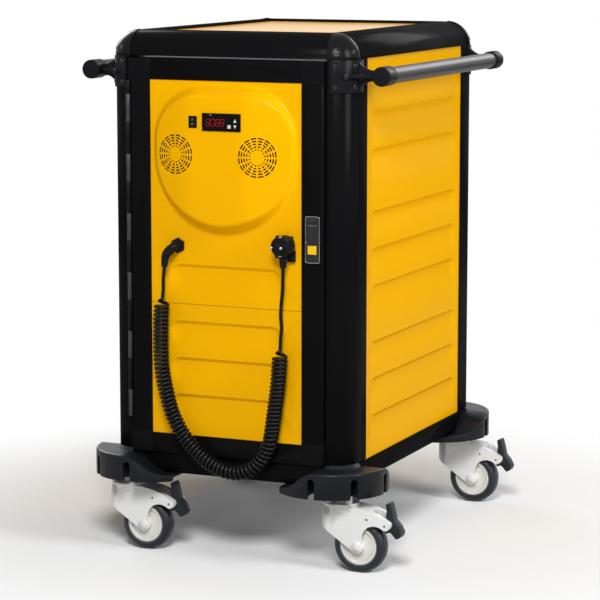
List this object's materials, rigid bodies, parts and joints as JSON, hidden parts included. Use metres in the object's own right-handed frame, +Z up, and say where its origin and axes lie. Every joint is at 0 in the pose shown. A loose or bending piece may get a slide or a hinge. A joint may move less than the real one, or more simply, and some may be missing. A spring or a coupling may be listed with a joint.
{
  "type": "hostess trolley",
  "caption": "Tall heated banquet trolley: insulated cabinet with framed front door, fan heater controls, curly mains lead, side push bars, corner bumpers and braked castors.",
  "frame": {"origin": "on the floor under the centre of the cabinet, which is also the bottom centre of the box", "axes": "+Z up, +X to the right of a person who faces the door, +Y from the door to the back"},
  "size_m": [0.6696, 0.7633, 0.9683],
  "materials": {
    "bar_plastic": "satin sleeve",
    "black_plastic": "fine matt grain",
    "black_profile": "satin black powder coat",
    "bright_steel": "bright zinc",
    "bumper_plastic": "fine matt grain",
    "button_yellow": "smooth",
    "castor_plastic": "smooth white",
    "cord_pvc": "glossy PVC",
    "display_plastic": "gloss front",
    "element_steel": "heat tinted",
    "hub_plastic": "smooth cream",
    "key_white": "smooth",
    "latch_plastic": "smooth",
    "mineral_wool": "fibrous board",
    "pedal_plastic": "matt",
    "seal_rubber": "soft matt",
    "steel_sheet": "brushed",
    "tyre_rubber": "matt grey rubber",
    "yellow_paint": "glossy yellow powder coat"
  },
  "bodies": {
    "cabinet": {"corner_posts": "black_profile", "frame_rails": "black_profile", "corner_caps": "black_plastic", "frame_screws": "black_profile", "left_side_panel": "yellow_paint", "right_side_panel": "yellow_paint", "back_panel": "yellow_paint", "top_panel": "yellow_paint", "base_plate": "steel_sheet", "inner_liner": "steel_sheet", "insulation": "mineral_wool", "tray_racks": "steel_sheet", "hinge_post_knuckles": "bright_steel", "strike_plate": "bright_steel", "push_bars": "bar_plastic", "bar_brackets": "black_plastic", "corner_bumpers": "bumper_plastic", "castor_mounts": "castor_plastic"},
    "door": {"door_frame": "black_profile", "door_corner_blocks": "black_plastic", "door_upper_panel": "yellow_paint", "door_lower_panel": "yellow_paint", "door_inner_panel": "steel_sheet", "door_gasket": "seal_rubber", "hinge_door_knuckles": "bright_steel", "latch_plate": "latch_plastic", "controller": "display_plastic", "switch_frame": "display_plastic", "fan_frames": "black_plastic", "heating_element": "element_steel", "cord_gland": "black_plastic", "cord_lead": "cord_pvc", "cord_coil": "cord_pvc", "cord_tail": "cord_pvc", "plug": "black_plastic", "plug_holder": "black_plastic"},
    "latch_button": {"latch_button": "button_yellow"},
    "latch_bolt": {"latch_bolt": "bright_steel"},
    "switch_rocker": {"switch_rocker": "display_plastic"},
    "key_set": {"key_set": "key_white"},
    "key_up": {"key_up": "key_white"},
    "key_down": {"key_down": "key_white"},
    "left_fan": {"left_fan": "black_plastic"},
    "right_fan": {"right_fan": "black_plastic"},
    "front_left_fork": {"front_left_fork": "castor_plastic"},
    "front_left_wheel": {"front_left_hub": "hub_plastic", "front_left_tyre": "tyre_rubber"},
    "front_left_pedal": {"front_left_pedal": "pedal_plastic"},
    "front_right_fork": {"front_right_fork": "castor_plastic"},
    "front_right_wheel": {"front_right_hub": "hub_plastic", "front_right_tyre": "tyre_rubber"},
    "front_right_pedal": {"front_right_pedal": "pedal_plastic"},
    "rear_left_fork": {"rear_left_fork": "castor_plastic"},
    "rear_left_wheel": {"rear_left_hub": "hub_plastic", "rear_left_tyre": "tyre_rubber"},
    "rear_left_pedal": {"rear_left_pedal": "pedal_plastic"},
    "rear_right_fork": {"rear_right_fork": "castor_plastic"},
    "rear_right_wheel": {"rear_right_hub": "hub_plastic", "rear_right_tyre": "tyre_rubber"},
    "rear_right_pedal": {"rear_right_pedal": "pedal_plastic"}
  },
  "joints": [
    {"name": "door_hinge", "type": "hinge", "parent": "cabinet", "child": "door", "pos_m": [-0.1938, -0.3362, 0.55], "axis": [0, 0, -1], "range_deg": [0, 150]},
    {"name": "latch_button_push", "type": "slide", "parent": "door", "child": "latch_button", "axis": [0, 1, 0], "range_m": [0, 0.004]},
    {"name": "latch_bolt_throw", "type": "slide", "parent": "door", "child": "latch_bolt", "axis": [1, 0, 0], "range_m": [0, 0.009]},
    {"name": "switch_rock", "type": "hinge", "parent": "door", "child": "switch_rocker", "pos_m": [-0.0524, -0.356, 0.8075], "axis": [1, 0, 0], "range_deg": [0, 14]},
    {"name": "key_set_press", "type": "slide", "parent": "door", "child": "key_set", "axis": [0, 1, 0], "range_m": [0, 0.0008], "stiffness_N_per_m": 900, "springref_m": -0.0003},
    {"name": "key_up_press", "type": "slide", "parent": "door", "child": "key_up", "axis": [0, 1, 0], "range_m": [0, 0.0008], "stiffness_N_per_m": 900, "springref_m": -0.0003},
    {"name": "key_down_press", "type": "slide", "parent": "door", "child": "key_down", "axis": [0, 1, 0], "range_m": [0, 0.0008], "stiffness_N_per_m": 900, "springref_m": -0.0003},
    {"name": "left_fan_spin", "type": "hinge", "parent": "door", "child": "left_fan", "pos_m": [-0.09, -0.35361, 0.748], "axis": [-0.1908, -0.9816, 0], "continuous": true},
    {"name": "right_fan_spin", "type": "hinge", "parent": "door", "child": "right_fan", "pos_m": [0.072, -0.35322, 0.747], "axis": [0.1908, -0.9816, 0], "continuous": true},
    {"name": "front_left_swivel", "type": "hinge", "parent": "cabinet", "child": "front_left_fork", "pos_m": [-0.215, -0.303, 0.122], "axis": [0, 0, 1], "continuous": true},
    {"name": "front_left_roll", "type": "hinge", "parent": "front_left_fork", "child": "front_left_wheel", "pos_m": [-0.176, -0.303, 0.05], "axis": [0, 1, 0], "continuous": true},
    {"name": "front_left_brake", "type": "hinge", "parent": "front_left_fork", "child": "front_left_pedal", "pos_m": [-0.123, -0.303, 0.093], "axis": [0, 1, 0], "range_deg": [0, 15]},
    {"name": "front_right_swivel", "type": "hinge", "parent": "cabinet", "child": "front_right_fork", "pos_m": [0.215, -0.303, 0.122], "axis": [0, 0, 1], "continuous": true},
    {"name": "front_right_roll", "type": "hinge", "parent": "front_right_fork", "child": "front_right_wheel", "pos_m": [0.254, -0.303, 0.05], "axis": [0, 1, 0], "continuous": true},
    {"name": "front_right_brake", "type": "hinge", "parent": "front_right_fork", "child": "front_right_pedal", "pos_m": [0.307, -0.303, 0.093], "axis": [0, 1, 0], "range_deg": [0, 15]},
    {"name": "rear_left_swivel", "type": "hinge", "parent": "cabinet", "child": "rear_left_fork", "pos_m": [-0.215, 0.303, 0.122], "axis": [0, 0, 1], "continuous": true},
    {"name": "rear_left_roll", "type": "hinge", "parent": "rear_left_fork", "child": "rear_left_wheel", "pos_m": [-0.254, 0.303, 0.05], "axis": [0, 1, 0], "continuous": true},
    {"name": "rear_left_brake", "type": "hinge", "parent": "rear_left_fork", "child": "rear_left_pedal", "pos_m": [-0.307, 0.303, 0.093], "axis": [0, -1, 0], "range_deg": [0, 15]},
    {"name": "rear_right_swivel", "type": "hinge", "parent": "cabinet", "child": "rear_right_fork", "pos_m": [0.215, 0.303, 0.122], "axis": [0, 0, 1], "continuous": true},
    {"name": "rear_right_roll", "type": "hinge", "parent": "rear_right_fork", "child": "rear_right_wheel", "pos_m": [0.254, 0.303, 0.05], "axis": [0, 1, 0], "continuous": true},
    {"name": "rear_right_brake", "type": "hinge", "parent": "rear_right_fork", "child": "rear_right_pedal", "pos_m": [0.307, 0.303, 0.093], "axis": [0, 1, 0], "range_deg": [0, 15]}
  ],
  "couplings": [
    {"joint": "latch_bolt_throw", "follows": "latch_button_push", "ratio": 2.25}
  ]
}
